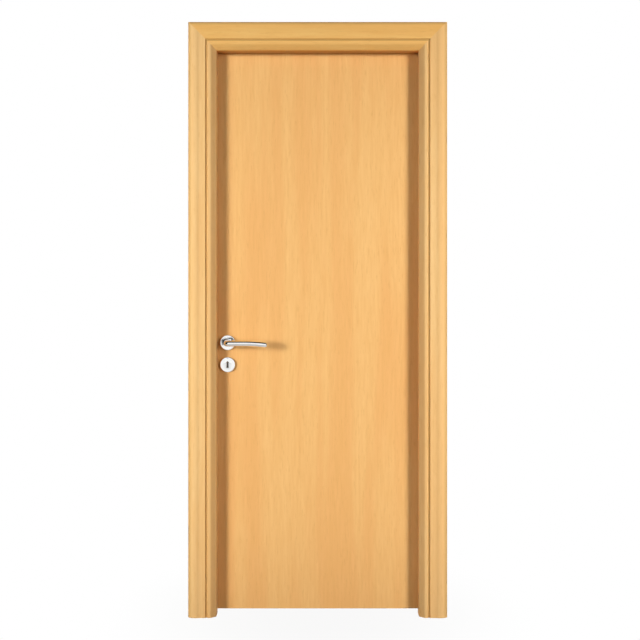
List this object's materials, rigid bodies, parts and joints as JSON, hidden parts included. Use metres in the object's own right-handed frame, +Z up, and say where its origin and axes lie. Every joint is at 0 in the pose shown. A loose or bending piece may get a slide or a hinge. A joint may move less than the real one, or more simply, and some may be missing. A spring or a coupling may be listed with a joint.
{
  "type": "interior door",
  "caption": "Flush wood-veneered interior door leaf hung in a frame with stops and mitred moulded casings, with lever handles on round roses and round key roses.",
  "frame": {"origin": "on the outer face of the hinge jamb, the face fixed to the side of the wall opening, at floor level and in the middle of the wall's thickness", "axes": "+X out of that face into the wall on the hinge side, so the doorway lies towards -X; +Y towards the side the leaf opens to, so the side seen in the picture faces -Y; +Z up"},
  "size_m": [0.904, 0.178, 2.0765],
  "materials": {
    "leaf_veneer": "satin lacquered beech-coloured veneer",
    "leaf_edge": "matt beech-coloured edge",
    "casing_veneer": "satin lacquered beech-coloured veneer",
    "jamb_veneer": "satin lacquered beech-coloured veneer",
    "plate_steel": "brushed",
    "handle_metal": "polished",
    "lock_case": "dull zinc"
  },
  "bodies": {
    "frame": {"hinge_jamb": "jamb_veneer", "lock_jamb": "jamb_veneer", "head_jamb": "jamb_veneer", "hinge_side_stop": "jamb_veneer", "lock_side_stop": "jamb_veneer", "head_stop": "jamb_veneer", "front_casing_hinge_side": "casing_veneer", "front_casing_lock_side": "casing_veneer", "front_casing_head": "casing_veneer", "back_casing_hinge_side": "casing_veneer", "back_casing_lock_side": "casing_veneer", "back_casing_head": "casing_veneer", "strike_plate": "plate_steel", "upper_hinge_frame_leaf": "plate_steel", "middle_hinge_frame_leaf": "plate_steel", "lower_hinge_frame_leaf": "plate_steel", "upper_hinge_pin": "plate_steel", "middle_hinge_pin": "plate_steel", "lower_hinge_pin": "plate_steel"},
    "leaf": {"front_skin": "leaf_veneer", "back_skin": "leaf_veneer", "hinge_stile": "leaf_edge", "lock_stile": "leaf_edge", "top_rail": "leaf_edge", "bottom_rail": "leaf_edge", "upper_hinge_door_leaf": "plate_steel", "middle_hinge_door_leaf": "plate_steel", "lower_hinge_door_leaf": "plate_steel", "lock_case": "lock_case", "lock_faceplate": "plate_steel", "latch_bolt": "plate_steel", "dead_bolt": "plate_steel", "front_rose": "handle_metal", "back_rose": "handle_metal", "front_key_rose": "handle_metal", "back_key_rose": "handle_metal"},
    "lever_set": {"front_lever": "handle_metal", "back_lever": "handle_metal", "spindle": "lock_case"}
  },
  "joints": [
    {"name": "leaf_swing", "type": "hinge", "parent": "frame", "child": "leaf", "pos_m": [-0.0245, 0.0445, 1.0155], "axis": [0, 0, -1], "range_deg": [0, 150]},
    {"name": "lever_turn", "type": "hinge", "parent": "leaf", "child": "lever_set", "pos_m": [-0.714, 0.0175, 0.955], "axis": [0, 1, 0], "range_deg": [0, 45], "stiffness_Nm_per_rad": 1.5, "springref_deg": -28.65}
  ]
}
